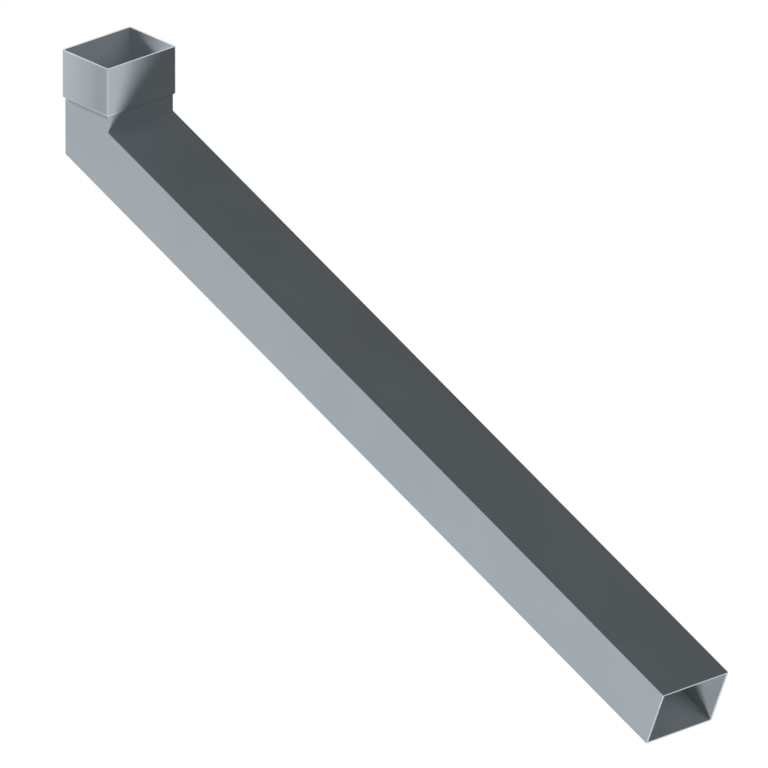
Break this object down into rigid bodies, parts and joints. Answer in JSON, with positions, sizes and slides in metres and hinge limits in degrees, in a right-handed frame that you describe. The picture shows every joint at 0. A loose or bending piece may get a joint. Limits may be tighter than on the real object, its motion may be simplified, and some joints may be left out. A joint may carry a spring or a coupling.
{
  "type": "long tail downpipe elbow",
  "caption": "Rectangular downpipe elbow with an upright socket, a short neck, a sharp mitred bend and a long straight tail that carries rainwater down and across.",
  "frame": {"origin": "middle of the socket's mouth, on the rim's plane", "axes": "+Z out of the socket's mouth, straight up as fitted; +X the way the tail leaves, so the tail runs to +X and down; +Y across the pipe's wide side"},
  "size_m": [1.0335, 0.1056, 0.5455],
  "materials": {
    "metal": "satin grey aluminium, plain and even, with bright cut edges"
  },
  "bodies": {
    "root": {"elbow": "metal"}
  },
  "joints": []
}
